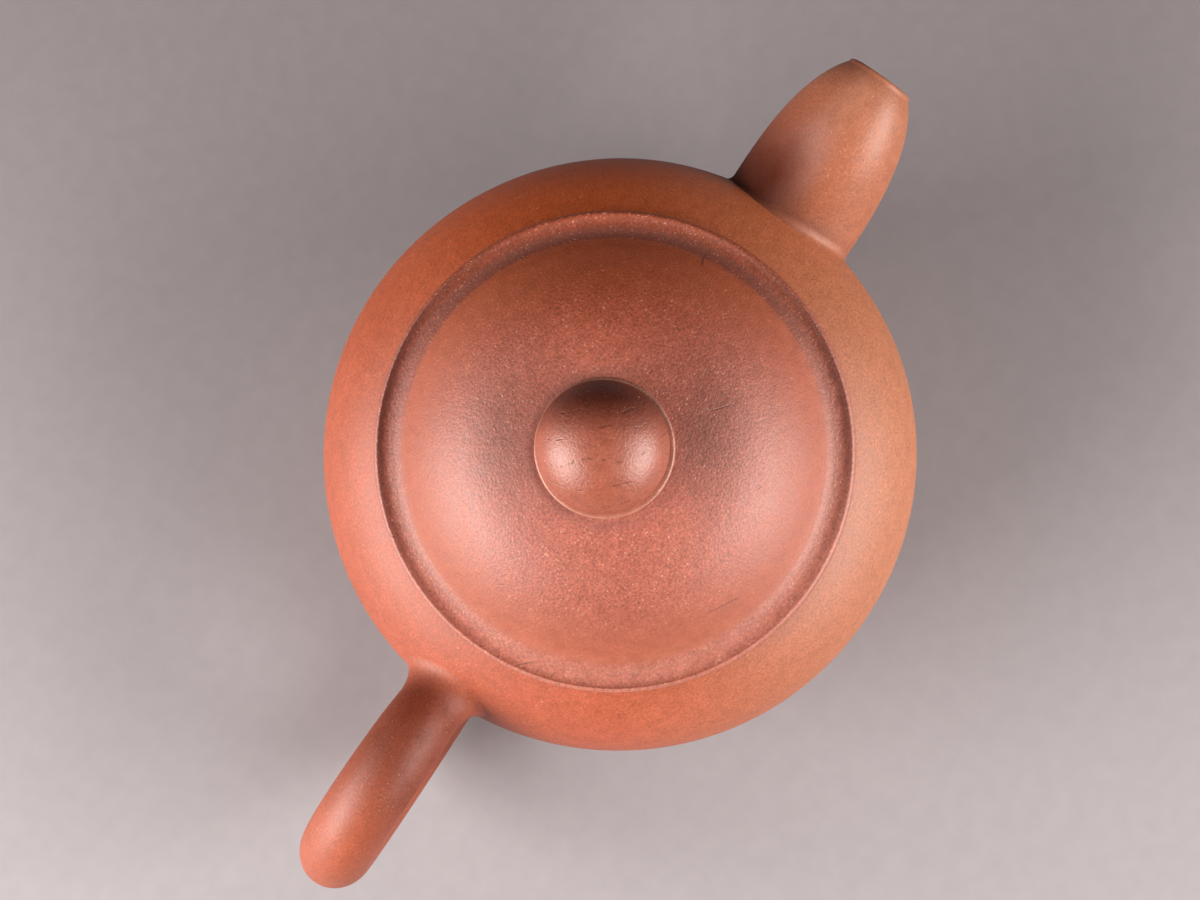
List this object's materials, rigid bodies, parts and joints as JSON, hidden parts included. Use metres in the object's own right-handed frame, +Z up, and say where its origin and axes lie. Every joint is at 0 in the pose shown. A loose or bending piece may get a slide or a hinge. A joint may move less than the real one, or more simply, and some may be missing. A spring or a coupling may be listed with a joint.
{
  "type": "clay teapot",
  "caption": "Small squat round red clay teapot with a short thick spout, a round ear handle and a domed lift-off lid with a bead knob.",
  "frame": {"origin": "on the pot's axis, at the plane of the foot that it stands on", "axes": "+X from the axis towards the spout, -X to the handle, +Z up through the knob"},
  "size_m": [0.1289, 0.08, 0.0641],
  "materials": {
    "pot_clay": "burnished unglazed red clay, satin from use",
    "lid_clay": "burnished unglazed red clay, slightly grainy",
    "knob_clay": "red clay polished by handling",
    "inner_clay": "unburnished red clay"
  },
  "bodies": {
    "pot": {"belly_wall": "pot_clay", "shoulder_ring": "pot_clay", "base_disc": "pot_clay", "foot_ring": "pot_clay", "mouth_ring": "pot_clay", "spout": "pot_clay", "strainer": "inner_clay", "handle": "pot_clay"},
    "lid": {"lid_flange": "lid_clay", "lid_dome": "lid_clay", "lid_bezel": "inner_clay", "knob": "knob_clay"}
  },
  "joints": [
    {"name": "lid_lift", "type": "slide", "parent": "pot", "child": "lid", "axis": [0, 0, 1], "range_m": [0, 0.04]}
  ]
}
